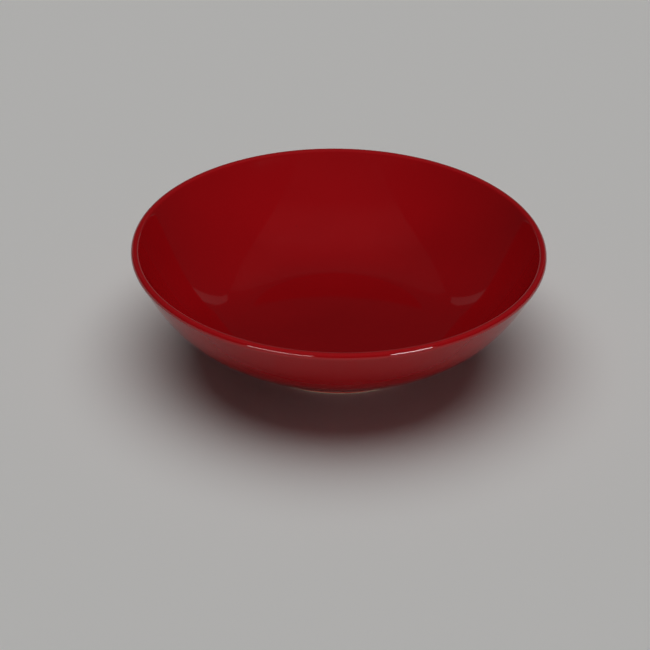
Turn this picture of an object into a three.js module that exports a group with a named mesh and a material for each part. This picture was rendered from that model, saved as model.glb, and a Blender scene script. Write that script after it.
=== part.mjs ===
// Deep ceramic plate of coupe shape: one open sweep from a foot ring to a round lip, with no flat rim.
// Millimetres, +Z up. The origin is the middle of the foot ring, on the surface that the plate stands on.
//
// Three pieces make the plate. The clay body is turned in one with its foot ring. A coat of glaze covers it
// inside, over the lip and down the outside. A second, smaller coat lines the recess inside the foot ring.
// The standing face of the foot, between the two coats, is bare clay.
import * as THREE from 'three';

// Outside of the finished plate, glaze included
const rimDiameter = 200; // over the widest part of the lip
const plateHeight = 53; // standing face to the top of the lip
const footDiameter = 101; // outside of the foot ring

// The wall's outer face is one curve from the foot to the lip. It leaves the foot and meets the lip at these
// slopes, in degrees from the level. The larger a hold, the further the wall keeps to its slope at that end.
const slopeAtFoot = 33;
const slopeAtLip = 62;
const holdAtFoot = 0.54;
const holdAtLip = 0.46;

// Thicknesses of the finished plate, glaze on both faces included
const lipThickness = 4; // the lip is a full round of this thickness
const floorThickness = 5.5;

// Inside, the flat floor runs out into a round, and the round into one curve. It meets the lip at the same
// slope as the outer face, and the wall between the two is 4 to 5 mm thick.
const floorInset = 6.5; // from the foot ring's outside in to the edge of the flat floor
const floorRound = 35; // radius of the round
const slopeAtRound = 27; // where the round passes into the curve
const holdAtRound = 0.3;
const holdInsideLip = 0.42;

// Foot ring, upwards from the standing face: a bevel, bare clay and the coat's edge. Outside, the wall starts
// right over that edge, in a small hollow corner. Inside, the glaze goes on up to the underside of the floor.
const footWidth = 6; // across the ring, glaze on both sides included
const footBevel = 0.3;
const bareFootHeight = 0.5; // standing face to the coat's edge, inside and outside
const footCorner = 0.5; // radius of the hollow corner to the wall, outside
const recessDepth = 3.5; // standing face to the underside of the floor
const recessCorner = 1.2; // radius of the hollow corner to the underside of the floor, inside

// Glaze
const glazeThickness = 0.5;
const glazeSeat = 0.02; // clearance between the clay and the glaze on it

// Fineness of the turned shapes
const sidesAround = 64;
const wallSteps = 8; // on each face
const cornerSteps = 2;
const floorRoundSteps = 4;
const lipStepsBelow = 1; // from the wall up to the widest line
const lipStepsOutside = 3; // from the widest line to the top
const lipStepsInside = 2; // from the top down to the inner wall

const radians = THREE.MathUtils.degToRad;
const rightAngle = Math.PI / 2;

// A station is a point of the finished profile, in radius and height, and the direction out of the plate there.
const station = (r, z, outR, outZ) => ({ r, z, outR, outZ });

// Stations along an arc. side is 1 on a rounded edge and -1 in a hollow corner.
function arc(centre, radius, from, to, steps, side = 1) {
  return Array.from({ length: steps + 1 }, (_, i) => {
    const angle = from + ((to - from) * i) / steps;
    const r = Math.cos(angle);
    const z = Math.sin(angle);
    return station(centre.x + radius * r, centre.y + radius * z, side * r, side * z);
  });
}

// The point at a depth under a station. The clay lies one glaze thickness down, the glaze's back just over it.
const glazeDepth = glazeThickness - glazeSeat;
const under = (depth) => ({ r, z, outR, outZ }) => new THREE.Vector2(r - depth * outR, z - depth * outZ);
const onGlaze = under(0);
const glazeBack = under(glazeDepth);
const onClay = under(glazeThickness);

const footRadius = footDiameter / 2;
const recessRadius = footRadius - footWidth;
const coatEdgeHeight = bareFootHeight + glazeThickness;
const floorHeight = recessDepth + floorThickness;
const lipRadius = lipThickness / 2;
const lipCentre = new THREE.Vector2(rimDiameter / 2 - lipRadius, plateHeight - lipRadius);

// The direction along a slope, and the one that is square to it and points out of the wall's outer face
const along = (slope) => new THREE.Vector2(Math.cos(slope), Math.sin(slope));
const outOf = (slope) => new THREE.Vector2(Math.sin(slope), -Math.cos(slope));

const footSlope = radians(slopeAtFoot);
const roundSlope = radians(slopeAtRound);
const lipSlope = radians(slopeAtLip);

// One face of the wall, from its start up to the lip
function wallFace(start, startSlope, startHold, end, endHold) {
  const span = start.distanceTo(end);
  const startHandle = start.clone().addScaledVector(along(startSlope), startHold * span);
  const endHandle = end.clone().addScaledVector(along(lipSlope), -endHold * span);
  return new THREE.CubicBezierCurve(start, startHandle, endHandle, end);
}

// The outer face starts at the foot's hollow corner, and the inner one at the floor's round.
const footCornerCentre = new THREE.Vector2(footRadius + footCorner, coatEdgeHeight);
const outerStart = footCornerCentre.clone().addScaledVector(outOf(footSlope), -footCorner);
const outerEnd = lipCentre.clone().addScaledVector(outOf(lipSlope), lipRadius);
const outerFace = wallFace(outerStart, footSlope, holdAtFoot, outerEnd, holdAtLip);

const floorRoundCentre = new THREE.Vector2(footRadius - floorInset, floorHeight + floorRound);
const innerStart = floorRoundCentre.clone().addScaledVector(outOf(roundSlope), floorRound);
const innerEnd = lipCentre.clone().addScaledVector(outOf(lipSlope), -lipRadius);
const innerFace = wallFace(innerStart, roundSlope, holdAtRound, innerEnd, holdInsideLip);

// Stations on a face of the wall, its ends left out. side is 1 on the outer face and -1 on the inner one.
function faceStations(face, side) {
  return Array.from({ length: wallSteps - 1 }, (_, i) => {
    const t = (i + 1) / wallSteps;
    const point = face.getPoint(t);
    const way = face.getTangent(t);
    return station(point.x, point.y, side * way.y, -side * way.x);
  });
}

// Finished profile of the main coat, from the foot up the outside, over the lip and down to the floor's middle
function mainStations() {
  const corner = arc(footCornerCentre, footCorner, Math.PI, rightAngle + footSlope, cornerSteps, -1);
  const lip = [
    ...arc(lipCentre, lipRadius, lipSlope - rightAngle, 0, lipStepsBelow),
    ...arc(lipCentre, lipRadius, 0, rightAngle, lipStepsOutside).slice(1),
    ...arc(lipCentre, lipRadius, rightAngle, rightAngle + lipSlope, lipStepsInside).slice(1),
  ];
  const inside = faceStations(innerFace, -1).toReversed();
  const floor = arc(floorRoundCentre, floorRound, roundSlope - rightAngle, -rightAngle, floorRoundSteps, -1);
  const middle = station(0, floorHeight, 0, 1);
  return [...corner, ...faceStations(outerFace, 1), ...lip, ...inside, ...floor, middle];
}

// Finished profile of the recess, from its middle out to the foot ring and down the ring's inner side
function recessStations() {
  const middle = station(0, recessDepth, 0, -1);
  const cornerCentre = new THREE.Vector2(recessRadius - recessCorner, recessDepth - recessCorner);
  const corner = arc(cornerCentre, recessCorner, rightAngle, 0, cornerSteps, -1);
  const coatEdge = station(recessRadius, coatEdgeHeight, -1, 0);
  return [middle, ...corner, coatEdge];
}

// Bare clay of the foot, from the edge of the recess's coat round the standing face to the main coat's edge
function bareFoot() {
  const inner = recessRadius + glazeThickness;
  const outer = footRadius - glazeThickness;
  return [
    new THREE.Vector2(inner, bareFootHeight),
    new THREE.Vector2(inner, footBevel),
    new THREE.Vector2(inner + footBevel, 0),
    new THREE.Vector2(outer - footBevel, 0),
    new THREE.Vector2(outer, footBevel),
    new THREE.Vector2(outer, bareFootHeight),
  ];
}

// A closed profile turned about +Z
function turned(name, profile, material) {
  const geometry = new THREE.LatheGeometry(profile, sidesAround);
  geometry.rotateX(rightAngle);
  const mesh = new THREE.Mesh(geometry, material);
  mesh.name = name;
  return mesh;
}

const bareClay = new THREE.MeshStandardMaterial({ color: 0xa38f78, roughness: 0.85, metalness: 0 });
const redGlaze = new THREE.MeshStandardMaterial({ color: 0x9c0c17, roughness: 0.08, metalness: 0 });

const main = mainStations();
const recess = recessStations();
// At its edge each coat slopes off to the top of the bare foot.
const mainEdge = new THREE.Vector2(footRadius - glazeDepth, bareFootHeight);
const recessEdge = new THREE.Vector2(recessRadius + glazeDepth, bareFootHeight);

const clayProfile = [...recess.map(onClay), ...bareFoot(), ...main.map(onClay)];
const mainCoatProfile = [...main.map(glazeBack).toReversed(), mainEdge, ...main.map(onGlaze)];
const recessCoatProfile = [...recess.map(onGlaze), recessEdge, ...recess.map(glazeBack).toReversed()];

const plate = new THREE.Group();
plate.add(turned('clay_body', clayProfile, bareClay));
plate.add(turned('glaze_coat', mainCoatProfile, redGlaze));
plate.add(turned('foot_well_glaze', recessCoatProfile, redGlaze));

export default plate;
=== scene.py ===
import math

import bpy
from mathutils import Matrix, Vector, noise


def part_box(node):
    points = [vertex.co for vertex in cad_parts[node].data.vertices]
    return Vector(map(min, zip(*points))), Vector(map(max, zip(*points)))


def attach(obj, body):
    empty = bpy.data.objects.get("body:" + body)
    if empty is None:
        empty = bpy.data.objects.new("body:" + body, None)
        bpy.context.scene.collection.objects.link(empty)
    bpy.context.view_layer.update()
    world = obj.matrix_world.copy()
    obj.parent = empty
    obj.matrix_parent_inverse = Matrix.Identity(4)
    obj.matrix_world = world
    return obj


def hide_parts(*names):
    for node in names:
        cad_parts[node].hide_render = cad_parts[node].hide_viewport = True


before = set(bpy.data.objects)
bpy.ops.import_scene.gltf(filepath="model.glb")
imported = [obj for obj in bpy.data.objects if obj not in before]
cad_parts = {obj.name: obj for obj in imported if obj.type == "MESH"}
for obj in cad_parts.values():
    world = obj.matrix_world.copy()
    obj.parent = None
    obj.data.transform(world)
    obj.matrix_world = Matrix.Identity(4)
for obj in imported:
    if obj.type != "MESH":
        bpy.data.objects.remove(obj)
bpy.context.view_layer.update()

# A deep ceramic plate: the fired clay body with its foot ring, the red glaze over it, and the glaze inside
# the foot ring. Everything is in metres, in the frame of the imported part: +Z up, with the origin on the
# surface that the plate stands on.

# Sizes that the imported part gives
GLAZE_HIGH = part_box("glaze_coat")[1]
WELL_LOW, WELL_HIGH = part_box("foot_well_glaze")
RIM_RADIUS = GLAZE_HIGH.x
PLATE_HEIGHT = GLAZE_HIGH.z
BARE_FOOT_HEIGHT = WELL_LOW.z

# Glaze
GLAZE_THICKNESS = 0.0005
GLAZE_SEAT = 0.00002  # clearance between the clay and the glaze on it
GLAZE_DEPTH = GLAZE_THICKNESS - GLAZE_SEAT
RECESS_RADIUS = WELL_HIGH.x - GLAZE_DEPTH
RECESS_DEPTH = WELL_HIGH.z - GLAZE_DEPTH

# The wall's outer face is one curve. It leaves the foot and meets the lip at these slopes from the level.
# The larger a hold, the further the wall keeps to its slope at that end.
SLOPE_AT_FOOT = math.radians(33)
SLOPE_AT_LIP = math.radians(62)
HOLD_AT_FOOT = 0.54
HOLD_AT_LIP = 0.46

# Inside, the flat floor runs out into a round, and the round into one curve, which meets the lip at the
# outer face's slope.
FOOT_RADIUS = 0.0505
FLOOR_INSET = 0.0065  # from the foot ring's outside in to the edge of the flat floor
FLOOR_EDGE = FOOT_RADIUS - FLOOR_INSET
FLOOR_ROUND = 0.035  # radius of the round
SLOPE_AT_ROUND = math.radians(27)
HOLD_AT_ROUND = 0.3
HOLD_INSIDE_LIP = 0.42

# The lip, the floor and the foot ring
LIP_RADIUS = 0.002
FLOOR_THICKNESS = 0.0055
FOOT_EDGE = 0.0003  # radius of the ring's lower edges
FOOT_CORNER = 0.0005  # radius of the hollow corner from the ring to the wall
RECESS_CORNER = 0.0012  # radius of the hollow corner inside the ring
COAT_EDGE_HEIGHT = BARE_FOOT_HEIGHT + GLAZE_THICKNESS
FLOOR_HEIGHT = RECESS_DEPTH + FLOOR_THICKNESS

LIP_CENTRE = Vector((RIM_RADIUS - LIP_RADIUS, PLATE_HEIGHT - LIP_RADIUS))
FOOT_CORNER_CENTRE = Vector((FOOT_RADIUS + FOOT_CORNER, COAT_EDGE_HEIGHT))
RECESS_CORNER_CENTRE = Vector((RECESS_RADIUS - RECESS_CORNER, RECESS_DEPTH - RECESS_CORNER))
ROUND_CENTRE = Vector((FLOOR_EDGE, FLOOR_HEIGHT + FLOOR_ROUND))

# Fineness, in steps. The clay and the glaze's back lie under the glaze, so they are coarser.
SIDES = 256
SHOWN = {"wall": 56, "inner": 44, "corner": 8, "lip": 30, "bend": 26, "flat": 26}
HIDDEN = {"wall": 24, "inner": 18, "corner": 4, "lip": 10, "bend": 10, "flat": 4}
EDGE_STEPS = 6
FOOT_STEPS = 5
SINGLE_POINT = 1e-9  # a point this near the axis is one point, not a ring

# Fired glaze and turned clay are never quite true. Each wandering has a length and a seed of its own.
RIPPLE_HEIGHT = 0.000014
RIPPLE_LENGTH = 0.030
RIPPLE_SEED = 1
EDGE_WAVE = 0.00012  # the coat's edge on the foot wanders up and down by this
EDGE_WAVE_LENGTH = 0.014
EDGE_WAVE_SEED = 5
EDGE_NOTCH_SHARE = 0.5  # of the wave, in finer wandering
EDGE_NOTCH_LENGTH = EDGE_WAVE_LENGTH / 3
EDGE_NOTCH_SEED = 9
EDGE_BEAD = 0.00012  # the coat's edge swells out by this
CLAY_WEAR = 0.00006
CLAY_WEAR_LENGTH = 0.004
CLAY_WEAR_SEED = 13

# The glaze's finish
GLAZE_IOR = 1.5
THIN_AT_LIP = 0.0012  # how far down from the top of the lip the glaze is thin
THIN_AT_FOOT = 0.0004  # and how far up from its edge in the recess
THIN_SHARE = 0.45  # how much of the thin glaze's colour shows there
COAT_LINES_DEPTH = 0.000001  # of the faint turning lines, over the plate
RECESS_LINES_DEPTH = 0.00001  # and in the recess

RIGHT_ANGLE = math.pi / 2
NO_DIRECTION = Vector((0, 0))


def along(angle):
    return Vector((math.cos(angle), math.sin(angle)))


def out_of(slope):
    return Vector((math.sin(slope), -math.cos(slope)))


# A profile is a list of points, in radius and height, each with its direction out of the plate.


def arc(centre, radius, start, end, steps, side=1):
    """Points along an arc. side is 1 on a rounded edge and -1 in a hollow corner."""
    angles = [start + (end - start) * i / steps for i in range(steps + 1)]
    return [(centre + radius * along(angle), side * along(angle)) for angle in angles]


def wall_face(start, slope, hold, hold_at_lip, side, steps):
    """Points of one face of the wall, from its start to the lip. side is 1 on the outer face, -1 inside."""
    end = LIP_CENTRE + side * LIP_RADIUS * out_of(SLOPE_AT_LIP)
    span = (end - start).length
    start_handle = start + hold * span * along(slope)
    end_handle = end - hold_at_lip * span * along(SLOPE_AT_LIP)
    first_leg = start_handle - start
    middle_leg = end_handle - start_handle
    last_leg = end - end_handle
    face = []
    for i in range(1, steps):
        t = i / steps
        s = 1 - t
        point = s**3 * start + 3 * s * s * t * start_handle + 3 * s * t * t * end_handle + t**3 * end
        run = s * s * first_leg + 2 * s * t * middle_leg + t * t * last_leg
        face.append((point, side * out_of(math.atan2(run.y, run.x))))
    return face


def main_profile(steps):
    """The finished surface from the coat's edge at the foot, over the lip and in to the floor's middle."""
    outside_angle = RIGHT_ANGLE + SLOPE_AT_FOOT
    corner = arc(FOOT_CORNER_CENTRE, FOOT_CORNER, math.pi, outside_angle, steps["corner"], -1)
    outer_start = corner[-1][0]
    outside = wall_face(outer_start, SLOPE_AT_FOOT, HOLD_AT_FOOT, HOLD_AT_LIP, 1, steps["wall"])
    lip_start = SLOPE_AT_LIP - RIGHT_ANGLE
    lip_end = SLOPE_AT_LIP + RIGHT_ANGLE
    lip = arc(LIP_CENTRE, LIP_RADIUS, lip_start, lip_end, steps["lip"])
    bend_start = SLOPE_AT_ROUND - RIGHT_ANGLE
    bend = arc(ROUND_CENTRE, FLOOR_ROUND, bend_start, -RIGHT_ANGLE, steps["bend"], -1)
    inner_start = bend[0][0]
    inside = wall_face(inner_start, SLOPE_AT_ROUND, HOLD_AT_ROUND, HOLD_INSIDE_LIP, -1, steps["inner"])
    inward = [FLOOR_EDGE * (1 - (i + 1) / steps["flat"]) for i in range(steps["flat"])]
    floor = [(Vector((radius, FLOOR_HEIGHT)), Vector((0, 1))) for radius in inward]
    return corner + outside + lip + inside[::-1] + bend + floor


def recess_profile(steps):
    """The finished surface of the recess, from its middle out to the ring and down to the coat's edge."""
    outward = [RECESS_CORNER_CENTRE.x * i / steps["flat"] for i in range(steps["flat"])]
    ceiling = [(Vector((radius, RECESS_DEPTH)), Vector((0, -1))) for radius in outward]
    corner = arc(RECESS_CORNER_CENTRE, RECESS_CORNER, RIGHT_ANGLE, 0, steps["corner"], -1)
    side = [(Vector((RECESS_RADIUS, COAT_EDGE_HEIGHT)), Vector((-1, 0)))]
    return ceiling + corner + side


def under(profile, depth):
    """The profile at a depth under the finished surface. It stays true, so its points have no direction."""
    return [(point - depth * out, NO_DIRECTION) for point, out in profile]


def coat_edge(radius, side):
    """The rounded edge of a coat on the foot, from its tip up. side is 1 outside the ring, -1 inside."""
    centre = Vector((radius - side * GLAZE_DEPTH, COAT_EDGE_HEIGHT))
    edge = []
    for i in range(EDGE_STEPS):
        across, up = along(RIGHT_ANGLE * (i / EDGE_STEPS - 1))
        point = centre + Vector((side * GLAZE_DEPTH * across, GLAZE_THICKNESS * up))
        edge.append((point, NO_DIRECTION))
    return edge


def bare_foot():
    """The bare clay of the ring, from the recess's coat round the standing face to the main coat."""
    inner = RECESS_RADIUS + GLAZE_THICKNESS
    outer = FOOT_RADIUS - GLAZE_THICKNESS
    inner_centre = Vector((inner + FOOT_EDGE, FOOT_EDGE))
    outer_centre = Vector((outer - FOOT_EDGE, FOOT_EDGE))
    inner_edge = arc(inner_centre, FOOT_EDGE, math.pi, math.pi + RIGHT_ANGLE, FOOT_STEPS)
    outer_edge = arc(outer_centre, FOOT_EDGE, -RIGHT_ANGLE, 0, FOOT_STEPS)
    face_from = inner_edge[-1][0]
    face_to = outer_edge[0][0]
    face = [(face_from.lerp(face_to, i / FOOT_STEPS), NO_DIRECTION) for i in range(1, FOOT_STEPS)]
    bare = BARE_FOOT_HEIGHT - FOOT_EDGE
    heights = [FOOT_EDGE + bare * (i + 1) / FOOT_STEPS for i in range(FOOT_STEPS)]
    inner_side = [(Vector((inner, height)), Vector((-1, 0))) for height in reversed(heights)]
    outer_side = [(Vector((outer, height)), Vector((1, 0))) for height in heights]
    return inner_side + inner_edge + face + outer_edge + outer_side


def turned(name, profile, shape):
    """A closed mesh turned about +Z. shape moves each point, given with its direction out of the plate."""
    points = []
    rings = []
    for point, out in profile:
        count = 1 if point.x < SINGLE_POINT else SIDES
        rings.append([len(points) + i for i in range(count)])
        for i in range(count):
            around = along(2 * math.pi * i / SIDES)
            place = Vector((point.x * around.x, point.x * around.y, point.y))
            outward = Vector((out.x * around.x, out.x * around.y, out.y))
            points.append(shape(place, outward))
    faces = []
    for low, high in zip(rings, rings[1:]):
        for i in range(SIDES):
            j = (i + 1) % SIDES
            face = [low[i % len(low)], low[j % len(low)], high[j % len(high)], high[i % len(high)]]
            faces.append(list(dict.fromkeys(face)))
    mesh = bpy.data.meshes.new(name)
    mesh.from_pydata(points, [], faces)
    mesh.polygons.foreach_set("use_smooth", [True] * len(mesh.polygons))
    piece = bpy.data.objects.new(name, mesh)
    bpy.context.scene.collection.objects.link(piece)
    return piece


def wander(place, length, seed):
    """A smooth random number of about -1 to 1 that changes over a length."""
    return noise.noise(place / length + Vector((seed, 2 * seed, 3 * seed)))


def fired_glaze(place, outward):
    """The glaze's surface flows a little out of true, and its lower edge on the foot wanders and swells."""
    sink = RIPPLE_HEIGHT * (1 + wander(place, RIPPLE_LENGTH, RIPPLE_SEED)) / 2
    place = place - sink * outward
    radius = math.hypot(place.x, place.y)
    above = (place.z - BARE_FOOT_HEIGHT) / (COAT_EDGE_HEIGHT - BARE_FOOT_HEIGHT)
    if above >= 1 or radius < RECESS_RADIUS - GLAZE_DEPTH:
        return place
    near_edge = (1 - above) ** 2 * (1 + 2 * above)
    level = Vector((place.x, place.y, 0))
    notch = EDGE_NOTCH_SHARE * wander(level, EDGE_NOTCH_LENGTH, EDGE_NOTCH_SEED)
    wave = wander(level, EDGE_WAVE_LENGTH, EDGE_WAVE_SEED) + notch
    outside = radius > (RECESS_RADIUS + FOOT_RADIUS) / 2
    back = FOOT_RADIUS - GLAZE_DEPTH if outside else RECESS_RADIUS + GLAZE_DEPTH
    swell = EDGE_BEAD * math.sin(math.pi * above) * (radius - back) / GLAZE_DEPTH
    return place + level.normalized() * swell + Vector((0, 0, EDGE_WAVE * near_edge * wave))


def turned_clay(place, outward):
    """The bare foot's sides and edges are a little uneven where the clay was turned and ground."""
    wear = CLAY_WEAR * (1 + wander(place, CLAY_WEAR_LENGTH, CLAY_WEAR_SEED)) / 2
    return place - wear * outward


def dress(piece, node, material):
    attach(piece, "root")
    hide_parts(node)
    piece.data.materials.append(material)


def make_coat(material):
    back = under(main_profile(HIDDEN), GLAZE_DEPTH)[::-1]
    profile = back + coat_edge(FOOT_RADIUS, 1) + main_profile(SHOWN)
    dress(turned("red_glaze_coat", profile, fired_glaze), "glaze_coat", material)


def make_recess_coat(material):
    back = under(recess_profile(HIDDEN), GLAZE_DEPTH)[::-1]
    profile = recess_profile(SHOWN) + coat_edge(RECESS_RADIUS, -1)[::-1] + back
    dress(turned("red_glaze_in_foot", profile, fired_glaze), "foot_well_glaze", material)


def make_body(material):
    recess = under(recess_profile(HIDDEN), GLAZE_THICKNESS)
    profile = recess + bare_foot() + under(main_profile(HIDDEN), GLAZE_THICKNESS)
    dress(turned("fired_clay", profile, turned_clay), "clay_body", material)


# Shader nodes

# Sockets of a Mix node that mixes colours
MIX_SHARE = 0
MIX_FIRST = 6
MIX_SECOND = 7
MIX_RESULT = 2

# The screen's curve, from a colour as it shows to the light that it stands for
SCREEN_KNEE = 0.04045
SCREEN_SLOPE = 12.92
SCREEN_OFFSET = 0.055
SCREEN_POWER = 2.4


def add(tree, kind, inputs=(), **settings):
    """A node with its settings. An input is a plain value or another node's output."""
    node = tree.nodes.new(kind)
    for name, value in settings.items():
        setattr(node, name, value)
    for key, value in dict(inputs).items():
        if isinstance(value, bpy.types.NodeSocket):
            tree.links.new(value, node.inputs[key])
        else:
            node.inputs[key].default_value = value
    return node


def sums(tree, operation, *values):
    return add(tree, "ShaderNodeMath", dict(enumerate(values)), operation=operation).outputs[0]


def blend(tree, share, first, second):
    """A colour between two, from the first at share 0 to the second at 1."""
    inputs = {MIX_SHARE: share, MIX_FIRST: first, MIX_SECOND: second}
    return add(tree, "ShaderNodeMix", inputs, data_type="RGBA").outputs[MIX_RESULT]


def ramp(tree, value, low, high, to_low=0.0, to_high=1.0):
    """value from low to high, drawn as a smooth step from to_low to to_high."""
    inputs = {"Value": value, "From Min": low, "From Max": high, "To Min": to_low, "To Max": to_high}
    return add(tree, "ShaderNodeMapRange", inputs, interpolation_type="SMOOTHSTEP").outputs["Result"]


def effect(name, inputs, output):
    """A node group with named number inputs, each with its first value, and one number output."""
    tree = bpy.data.node_groups.new(name, "ShaderNodeTree")
    for label, value in inputs.items():
        socket = tree.interface.new_socket(label, in_out="INPUT", socket_type="NodeSocketFloat")
        socket.default_value = value
    tree.interface.new_socket(output, in_out="OUTPUT", socket_type="NodeSocketFloat")
    return tree, add(tree, "NodeGroupInput").outputs


def put_out(tree, value):
    tree.links.new(value, add(tree, "NodeGroupOutput").inputs[0])


def place_on_object(tree):
    return add(tree, "ShaderNodeTexCoord").outputs["Object"]


def scaled(tree, place, length):
    """The place counted in lengths."""
    per_length = sums(tree, "DIVIDE", 1.0, length)
    inputs = {0: place, "Scale": per_length}
    return add(tree, "ShaderNodeVectorMath", inputs, operation="SCALE").outputs[0]


def make_drift():
    """A soft change over the surface, 0 to 1."""
    tree, given = effect("drift", {"Length": 0.02, "Detail": 2.0, "Seed": 0.0}, "Value")
    place = scaled(tree, place_on_object(tree), given["Length"])
    inputs = {"Vector": place, "W": given["Seed"], "Scale": 1.0, "Detail": given["Detail"]}
    put_out(tree, add(tree, "ShaderNodeTexNoise", inputs, noise_dimensions="4D").outputs[0])
    return tree


def make_specks():
    """Small round spots, 1 at their middles. Share is how many of the cells, one spacing wide, have one."""
    tree, given = effect("specks", {"Spacing": 0.004, "Size": 0.0003, "Share": 0.3}, "Mask")
    inputs = {"Vector": scaled(tree, place_on_object(tree), given["Spacing"]), "Scale": 1.0}
    cells = add(tree, "ShaderNodeTexVoronoi", inputs)
    pick = add(tree, "ShaderNodeSeparateColor", {0: cells.outputs["Color"]}).outputs
    size = sums(tree, "MULTIPLY", given["Size"], pick["Green"])
    radius = sums(tree, "DIVIDE", size, given["Spacing"])
    spot = ramp(tree, cells.outputs["Distance"], 0.0, radius, 1.0, 0.0)
    chosen = sums(tree, "LESS_THAN", pick["Red"], given["Share"])
    put_out(tree, sums(tree, "MULTIPLY", spot, chosen))
    return tree


def make_height_band():
    """0 at the height Low and 1 at High, with a smooth step between. Either may be the higher one."""
    tree, given = effect("height_band", {"Low": 0.0, "High": 0.001}, "Mask")
    height = add(tree, "ShaderNodeSeparateXYZ", {0: place_on_object(tree)}).outputs["Z"]
    put_out(tree, ramp(tree, height, given["Low"], given["High"]))
    return tree


def make_turning_lines():
    """Fine rings about the axis, as a turning tool leaves them, 0 to 1."""
    wobble_length = 0.02
    tree, given = effect("turning_lines", {"Spacing": 0.0006, "Wander": 0.5}, "Height")
    place = place_on_object(tree)
    axes = add(tree, "ShaderNodeSeparateXYZ", {0: place}).outputs
    level = add(tree, "ShaderNodeCombineXYZ", {"X": axes["X"], "Y": axes["Y"]}).outputs[0]
    radius = add(tree, "ShaderNodeVectorMath", {0: level}, operation="LENGTH").outputs["Value"]
    turns = sums(tree, "DIVIDE", radius, given["Spacing"])
    wobble_inputs = {"Vector": scaled(tree, place, wobble_length), "Scale": 1.0}
    wobble = add(tree, "ShaderNodeTexNoise", wobble_inputs).outputs[0]
    shifted = sums(tree, "ADD", turns, sums(tree, "MULTIPLY", wobble, given["Wander"]))
    line_inputs = {"W": shifted, "Scale": 1.0, "Detail": 3.0}
    put_out(tree, add(tree, "ShaderNodeTexNoise", line_inputs, noise_dimensions="1D").outputs[0])
    return tree


def use(tree, group, **values):
    """Places an effect in a material with its own values, and gives its output."""
    node = add(tree, "ShaderNodeGroup", node_tree=group)
    for label, value in values.items():
        node.inputs[label].default_value = value
    return node.outputs[0]


def bump(tree, height, depth, below=None):
    """A normal whose relief is depth metres high. below is a normal that it lies on."""
    inputs = {"Height": height, "Distance": depth}
    if below:
        inputs["Normal"] = below
    return add(tree, "ShaderNodeBump", inputs).outputs["Normal"]


def shade(red, green, blue):
    """A colour given as 0 to 255 on screen, as the shader takes it."""
    linear = []
    for part in (red / 255, green / 255, blue / 255):
        if part <= SCREEN_KNEE:
            linear.append(part / SCREEN_SLOPE)
        else:
            linear.append(((part + SCREEN_OFFSET) / (1 + SCREEN_OFFSET)) ** SCREEN_POWER)
    return (*linear, 1.0)


def new_material(name):
    material = bpy.data.materials.new(name)
    material.use_nodes = True
    tree = material.node_tree
    return material, tree, tree.nodes["Principled BSDF"].inputs


def make_glaze(name, effects, thin_from, thin_to, lines_depth):
    """Opaque red glaze, full gloss. It is a little paler where it runs thin, from thin_from to thin_to."""
    drift, specks, height_band, turning_lines = effects
    material, tree, skin = new_material(name)

    deep = shade(126, 5, 10)
    full = shade(136, 7, 12)
    thin = shade(150, 18, 23)
    # Painted shade: the pinhole dents are coloured a darker red, as if shade lay in them
    painted_pit_shade = shade(62, 4, 7)
    body = blend(tree, use(tree, drift, Length=0.045, Detail=3.0, Seed=2.0), deep, full)
    at_edge = use(tree, height_band, Low=thin_from, High=thin_to)
    edged = blend(tree, sums(tree, "MULTIPLY", at_edge, THIN_SHARE), body, thin)
    # The pits mask places the dents in the bump and the painted shade in the colour
    pits = use(tree, specks, Spacing=0.008, Size=0.0006, Share=0.3)
    tree.links.new(blend(tree, pits, edged, painted_pit_shade), skin["Base Color"])

    cloud = use(tree, drift, Length=0.018, Detail=2.0, Seed=7.0)
    gloss = ramp(tree, cloud, low=0.2, high=0.8, to_low=0.035, to_high=0.07)
    tree.links.new(gloss, skin["Roughness"])
    skin["IOR"].default_value = GLAZE_IOR

    swell = use(tree, drift, Length=0.014, Detail=1.0, Seed=4.0)
    peel = use(tree, drift, Length=0.0016, Detail=1.0, Seed=5.0)
    rings = use(tree, turning_lines, Spacing=0.004, Wander=1.5)
    swollen = bump(tree, swell, depth=0.00003)
    peeled = bump(tree, peel, depth=0.000002, below=swollen)
    lined = bump(tree, rings, depth=lines_depth, below=peeled)
    tree.links.new(bump(tree, pits, depth=-0.00005, below=lined), skin["Normal"])
    return material


def make_clay(effects):
    """Bare fired clay, matt and pale, with grog, iron specks, turning lines and a scuffed standing face."""
    drift, specks, height_band, turning_lines = effects
    material, tree, skin = new_material("bare_clay")

    pale = shade(176, 156, 132)
    warm = shade(158, 134, 108)
    iron = shade(84, 58, 42)
    scuffed = shade(142, 130, 116)
    body = blend(tree, use(tree, drift, Length=0.006, Detail=5.0, Seed=1.0), pale, warm)
    above_face = use(tree, height_band, Low=0.00005, High=0.0005)
    on_face = sums(tree, "SUBTRACT", 1.0, above_face)
    rubbed = use(tree, drift, Length=0.0025, Detail=4.0, Seed=3.0)
    marks = ramp(tree, rubbed, low=0.4, high=0.65)
    scuffs = sums(tree, "MULTIPLY", marks, on_face)
    dots = use(tree, specks, Spacing=0.0016, Size=0.00035, Share=0.18)
    tree.links.new(blend(tree, dots, blend(tree, scuffs, body, scuffed), iron), skin["Base Color"])

    tree.links.new(ramp(tree, scuffs, low=0.0, high=1.0, to_low=0.88, to_high=0.62), skin["Roughness"])
    skin["Specular IOR Level"].default_value = 0.3

    rings = use(tree, turning_lines, Spacing=0.0005, Wander=0.6)
    grog = use(tree, drift, Length=0.0004, Detail=4.0, Seed=6.0)
    lined = bump(tree, rings, depth=0.00006)
    grained = bump(tree, grog, depth=0.00008, below=lined)
    tree.links.new(bump(tree, dots, depth=0.00003, below=grained), skin["Normal"])
    return material


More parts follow.
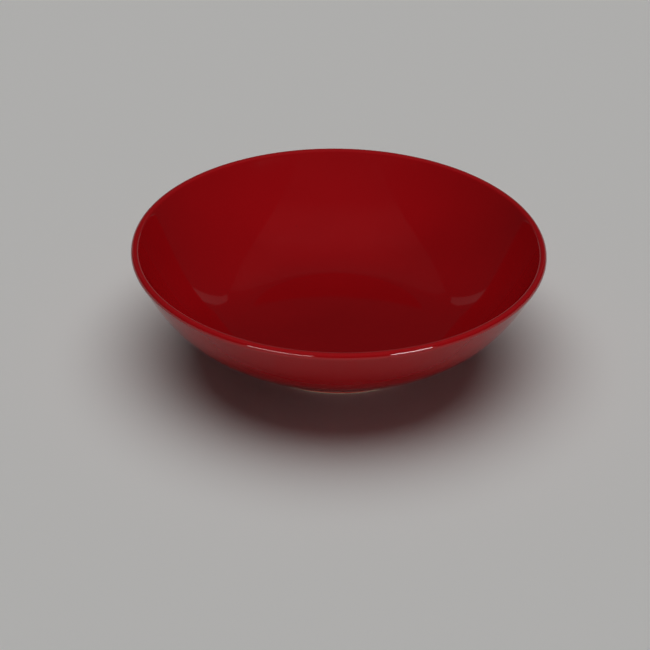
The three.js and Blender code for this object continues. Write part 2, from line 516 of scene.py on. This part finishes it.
def make_plate():
    effects = (make_drift(), make_specks(), make_height_band(), make_turning_lines())
    lip_top = PLATE_HEIGHT
    coat_tip = BARE_FOOT_HEIGHT
    coat = make_glaze("red_glaze", effects, lip_top - THIN_AT_LIP, lip_top, COAT_LINES_DEPTH)
    recess = make_glaze("red_glaze_in_foot", effects, coat_tip + THIN_AT_FOOT, coat_tip, RECESS_LINES_DEPTH)
    clay = make_clay(effects)
    make_coat(coat)
    make_recess_coat(recess)
    make_body(clay)


# Floor, lights and camera

FLOOR_REACH = 20.0
FLOOR_SHADE = shade(240, 239, 237)
FLOOR_ROUGHNESS = 0.9

# The two front windows, which the plate sees as wide and low
KEY_DISTANCE = 8.0
KEY_ELEVATION = 19
KEY_HEIGHT = 8

# The two narrow strips of light behind the plate
STRIP_DISTANCE = 1.6
STRIP_GLOW = 0.1

# The level panel overhead. At each end its light changes between two shares of its length, and beyond them
# it has the end's level.
CEILING_PLACE = Vector((0.022, -0.4, 1.2))
CEILING_SIZE = (1.63, 3.21)
CEILING_TURN = 1.1
CEILING_GLOW = 0.044
ONE_END = (0.33, 0.48)
ONE_END_LEVEL = 0.28
OTHER_END = (0.59, 0.69)
OTHER_END_LEVEL = 0.55

HORIZON_SHADE = shade(160, 160, 160)
OVERHEAD_SHADE = shade(42, 42, 42)
HORIZON_BAND = 0.03  # how far up the horizon's light fades out, 1 for straight up

# The camera, and where the plate's origin lies in the photograph
PHOTO_SIZE = 650
FOCAL_LENGTH_PIXELS = 2860.1
ORIGIN_PIXEL = (337.532, 338.223)
CAMERA_DISTANCE = 1.404
CAMERA_ELEVATION = 31.84
CAMERA_ROLL = 0.999
SENSOR_WIDTH = 36.0
NEAREST = 0.1
FURTHEST = 50.0


def towards(azimuth, elevation):
    """The direction from the plate at an azimuth, 0 to the camera's side and 90 to +X, and an elevation."""
    a = math.radians(azimuth)
    e = math.radians(elevation)
    return Vector((math.sin(a) * math.cos(e), -math.cos(a) * math.cos(e), math.sin(e)))


def make_floor():
    mesh = bpy.data.meshes.new("floor")
    corners = [(x * FLOOR_REACH, y * FLOOR_REACH, 0) for x, y in ((-1, -1), (1, -1), (1, 1), (-1, 1))]
    mesh.from_pydata(corners, [], [(0, 1, 2, 3)])
    floor = bpy.data.objects.new("floor", mesh)
    bpy.context.scene.collection.objects.link(floor)
    material, _, skin = new_material("pale_floor")
    skin["Base Color"].default_value = FLOOR_SHADE
    skin["Roughness"].default_value = FLOOR_ROUGHNESS
    skin["Specular IOR Level"].default_value = 0.0
    mesh.materials.append(material)
    return floor


def add_lamp(name, kind, place, **settings):
    """A lamp that the camera doesn't see, turned to the plate."""
    lamp = bpy.data.lights.new(name, kind)
    for setting, value in settings.items():
        setattr(lamp, setting, value)
    holder = bpy.data.objects.new(name, lamp)
    holder.location = place
    holder.rotation_euler = place.to_track_quat("Z", "Y").to_euler()
    holder.visible_camera = False
    bpy.context.scene.collection.objects.link(holder)
    return holder


def add_sheet(name, place, width, height, glow):
    """A sheet of plain light. glow is how bright it looks, 1 for white."""
    energy = glow * math.pi * width * height
    return add_lamp(name, "AREA", place, shape="RECTANGLE", size=width, size_y=height, energy=energy)


def add_window(name, azimuth, elevation, distance, breadth, height, glow, lean=0):
    """A sheet that the plate sees breadth by height degrees large. Its top leans this far to the left."""
    width, length = (2 * distance * math.tan(math.radians(angle) / 2) for angle in (breadth, height))
    window = add_sheet(name, towards(azimuth, elevation) * distance, width, length, glow)
    window.rotation_euler.rotate_axis("Z", -math.radians(lean))
    return window


def add_fill(name, azimuth, elevation, spread, strength):
    """Soft light that shows no lamp in the glaze. strength is how light it makes a white sheet facing it."""
    settings = {"energy": strength * math.pi, "angle": math.radians(spread)}
    fill = add_lamp(name, "SUN", towards(azimuth, elevation), **settings)
    fill.visible_glossy = False
    return fill


def keep_off_floor(floor, lamps):
    """Keeps the light of some lamps off the floor, so that the wall above it has less to mirror there."""
    flagged = bpy.data.collections.new("flagged_off")
    flagged.objects.link(floor)
    flagged.collection_objects[0].light_linking.link_state = "EXCLUDE"
    for lamp in lamps:
        lamp.light_linking.receiver_collection = flagged


def add_front_lights(floor):
    key = {"elevation": KEY_ELEVATION, "distance": KEY_DISTANCE, "height": KEY_HEIGHT}
    left_key = add_window("left_key", azimuth=-29.5, breadth=33, glow=11.5, **key)
    right_key = add_window("right_key", azimuth=39.3, breadth=20.6, glow=27, **key)
    fill = add_fill("front_fill", azimuth=0, elevation=45, spread=60, strength=0.16)
    keep_off_floor(floor, [left_key, right_key, fill])


def add_back_lights():
    strip = {"distance": STRIP_DISTANCE, "glow": STRIP_GLOW}
    add_window("left_strip", azimuth=-146.5, elevation=22.1, breadth=4.9, height=26.5, lean=-13, **strip)
    add_window("right_strip", azimuth=149.6, elevation=25.9, breadth=5.4, height=20.6, lean=18, **strip)
    add_window("back_band", azimuth=180, elevation=9, distance=3.0, breadth=70, height=14, glow=0.22)
    add_fill("top_fill", azimuth=180, elevation=75, spread=70, strength=0.46)


def add_ceiling():
    """A faint level panel overhead, brightest across its middle."""
    ceiling = add_sheet("ceiling", CEILING_PLACE, *CEILING_SIZE, CEILING_GLOW)
    ceiling.rotation_euler = (0, 0, math.radians(CEILING_TURN))
    ceiling.data.use_nodes = True
    tree = ceiling.data.node_tree
    place = add(tree, "ShaderNodeNewGeometry").outputs["Parametric"]
    along_panel = add(tree, "ShaderNodeSeparateXYZ", {0: place}).outputs["Y"]
    rise = ramp(tree, along_panel, *ONE_END, ONE_END_LEVEL, 1.0)
    fall = ramp(tree, along_panel, *OTHER_END, 1.0, OTHER_END_LEVEL)
    tree.links.new(sums(tree, "MULTIPLY", rise, fall), tree.nodes["Emission"].inputs["Strength"])


def make_world():
    """A dim studio, paler along the horizon."""
    world = bpy.data.worlds.new("studio")
    world.use_nodes = True
    tree = world.node_tree
    direction = add(tree, "ShaderNodeTexCoord").outputs["Generated"]
    height = add(tree, "ShaderNodeSeparateXYZ", {0: direction}).outputs["Z"]
    level = blend(tree, ramp(tree, height, 0.0, HORIZON_BAND), HORIZON_SHADE, OVERHEAD_SHADE)
    tree.links.new(level, tree.nodes["Background"].inputs["Color"])
    bpy.context.scene.world = world


def make_camera():
    """The photograph's view: at the plate's origin, then panned, tilted and rolled a little."""
    camera = bpy.data.objects.new("camera", bpy.data.cameras.new("camera"))
    camera.data.sensor_width = SENSOR_WIDTH
    camera.data.lens = FOCAL_LENGTH_PIXELS / PHOTO_SIZE * SENSOR_WIDTH
    camera.data.clip_start = NEAREST
    camera.data.clip_end = FURTHEST
    away = towards(0, CAMERA_ELEVATION)
    middle = PHOTO_SIZE / 2
    pan = math.atan((ORIGIN_PIXEL[0] - middle) / FOCAL_LENGTH_PIXELS)
    tilt = math.atan((ORIGIN_PIXEL[1] - middle) / FOCAL_LENGTH_PIXELS)
    level = away.to_track_quat("Z", "Y").to_matrix()
    turn = Matrix.Rotation(pan, 3, "Y") @ Matrix.Rotation(tilt, 3, "X")
    roll = Matrix.Rotation(math.radians(CAMERA_ROLL), 3, "Z")
    place = Matrix.Translation(away * CAMERA_DISTANCE)
    camera.matrix_world = place @ (level @ turn @ roll).to_4x4()
    bpy.context.scene.collection.objects.link(camera)
    bpy.context.scene.camera = camera


make_camera()
make_plate()
add_front_lights(make_floor())
add_back_lights()
add_ceiling()
make_world()
bpy.context.scene.view_settings.view_transform = "Standard"
